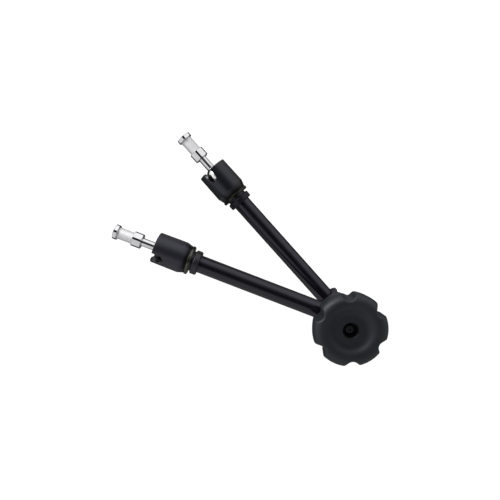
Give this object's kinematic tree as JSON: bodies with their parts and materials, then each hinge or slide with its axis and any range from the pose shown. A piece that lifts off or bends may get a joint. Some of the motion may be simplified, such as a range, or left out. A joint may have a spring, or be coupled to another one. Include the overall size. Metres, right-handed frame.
{
  "type": "articulating friction arm",
  "caption": "Articulating friction arm: a dished lobed knob at the elbow locks it together with the slotted ball heads and tapped hex studs at the arms' outer ends.",
  "frame": {"origin": "centre of the front stud's tip face", "axes": "+X from that tip along the front arm to the elbow, +Z along the elbow's axis towards the knob"},
  "size_m": [0.3006, 0.1646, 0.094],
  "materials": {
    "elbow_black": "satin black anodised casting",
    "tube_black": "satin black anodised",
    "collar_black": "satin black anodised",
    "fitting_black": "black anodised",
    "guide_plastic": "natural moulded",
    "rod_steel": "ground bar",
    "pad_plastic": "moulded friction plastic",
    "ring_steel": "dark turned, slightly oily",
    "cup_black": "satin black anodised",
    "ball_steel": "polished",
    "stud_steel": "bright nickel plated",
    "cone_steel": "turned and greased",
    "friction_lining": "woven lining, matte",
    "spring_steel": "drawn wire",
    "washer_steel": "zinc plated",
    "washer_brass": "rolled",
    "insert_steel": "black oxide",
    "washer_black": "black oxide",
    "knob_plastic": "fine moulded texture",
    "screw_black": "black oxide",
    "screw_steel": "zinc plated"
  },
  "bodies": {
    "front_stud": {"front_hex_stud": "stud_steel"},
    "front_ball": {"front_ball": "ball_steel"},
    "front_cup": {"front_cup": "cup_black", "front_retaining_ring": "ring_steel"},
    "front_pad": {"front_friction_pad": "pad_plastic"},
    "front_arm": {"front_elbow_half": "elbow_black", "front_tube": "tube_black", "front_collar": "collar_black", "front_end_fitting": "fitting_black", "front_rod_guide": "guide_plastic"},
    "front_rod": {"front_push_rod": "rod_steel"},
    "front_wedge": {"front_wedge_cone": "cone_steel", "thrust_washer": "washer_steel", "bearing_washer": "washer_brass"},
    "knob": {"knob": "knob_plastic", "knob_insert": "insert_steel"},
    "clamp_bolt": {"tie_bolt": "screw_steel", "rear_wedge_cone": "cone_steel", "end_washer": "washer_black", "end_screw": "screw_black", "release_spring": "spring_steel"},
    "rear_arm": {"rear_elbow_half": "elbow_black", "rear_tube": "tube_black", "rear_collar": "collar_black", "rear_end_fitting": "fitting_black", "rear_rod_guide": "guide_plastic", "friction_disc": "friction_lining", "key_pin": "screw_steel"},
    "rear_rod": {"rear_push_rod": "rod_steel"},
    "rear_pad": {"rear_friction_pad": "pad_plastic"},
    "rear_cup": {"rear_cup": "cup_black", "rear_retaining_ring": "ring_steel"},
    "rear_ball": {"rear_ball": "ball_steel"},
    "rear_stud": {"rear_hex_stud": "stud_steel"}
  },
  "joints": [
    {"name": "front_spin", "type": "hinge", "parent": "front_stud", "child": "front_ball", "pos_m": [0.0555, 0, 0], "axis": [1, 0, 0], "continuous": true},
    {"name": "front_tilt", "type": "hinge", "parent": "front_ball", "child": "front_cup", "pos_m": [0.0555, 0, 0], "axis": [0, 0.8406, 0.5417], "range_deg": [-90, 30]},
    {"name": "front_swivel", "type": "hinge", "parent": "front_cup", "child": "front_arm", "pos_m": [0.0555, 0, 0], "axis": [1, 0, 0], "continuous": true},
    {"name": "elbow", "type": "hinge", "parent": "front_arm", "child": "rear_arm", "pos_m": [0.2631, 0, -0.015], "axis": [0, 0, 1], "range_deg": [-326.8, 21]},
    {"name": "rear_swivel", "type": "hinge", "parent": "rear_arm", "child": "rear_cup", "pos_m": [0.07824, 0.09447, -0.03], "axis": [0.8905, -0.4551, 0], "continuous": true},
    {"name": "rear_tilt", "type": "hinge", "parent": "rear_cup", "child": "rear_ball", "pos_m": [0.07824, 0.09447, -0.03], "axis": [-0.4284, -0.8383, -0.3371], "range_deg": [-90, 30]},
    {"name": "rear_spin", "type": "hinge", "parent": "rear_ball", "child": "rear_stud", "pos_m": [0.07824, 0.09447, -0.03], "axis": [0.8905, -0.4551, 0], "continuous": true},
    {"name": "knob_turn", "type": "hinge", "parent": "front_wedge", "child": "knob", "pos_m": [0.2631, 0, 0.017], "axis": [0, 0, 1], "range_deg": [0, 360]},
    {"name": "front_wedge_travel", "type": "slide", "parent": "front_arm", "child": "front_wedge", "axis": [0, 0, 1], "range_m": [0, 0.00063], "deforming": ["release_spring"]},
    {"name": "clamp_bolt_travel", "type": "slide", "parent": "rear_arm", "child": "clamp_bolt", "axis": [0, 0, -1], "range_m": [0, 0.00063]},
    {"name": "front_rod_travel", "type": "slide", "parent": "front_arm", "child": "front_rod", "axis": [1, 0, 0], "range_m": [0, 0.0003]},
    {"name": "front_pad_travel", "type": "slide", "parent": "front_cup", "child": "front_pad", "axis": [1, 0, 0], "range_m": [0, 0.0003]},
    {"name": "rear_rod_travel", "type": "slide", "parent": "rear_arm", "child": "rear_rod", "axis": [0.8905, -0.4551, 0], "range_m": [0, 0.0003]},
    {"name": "rear_pad_travel", "type": "slide", "parent": "rear_cup", "child": "rear_pad", "axis": [0.8905, -0.4551, 0], "range_m": [0, 0.0003]}
  ],
  "couplings": [
    {"joint": "front_wedge_travel", "follows": "knob_turn", "m_per_rad": 0.000099472},
    {"joint": "clamp_bolt_travel", "follows": "knob_turn", "m_per_rad": 0.000099472},
    {"joint": "front_rod_travel", "follows": "knob_turn", "m_per_rad": 0.000046385},
    {"joint": "front_pad_travel", "follows": "knob_turn", "m_per_rad": 0.000046385},
    {"joint": "rear_rod_travel", "follows": "knob_turn", "m_per_rad": 0.000046385},
    {"joint": "rear_pad_travel", "follows": "knob_turn", "m_per_rad": 0.000046385}
  ]
}
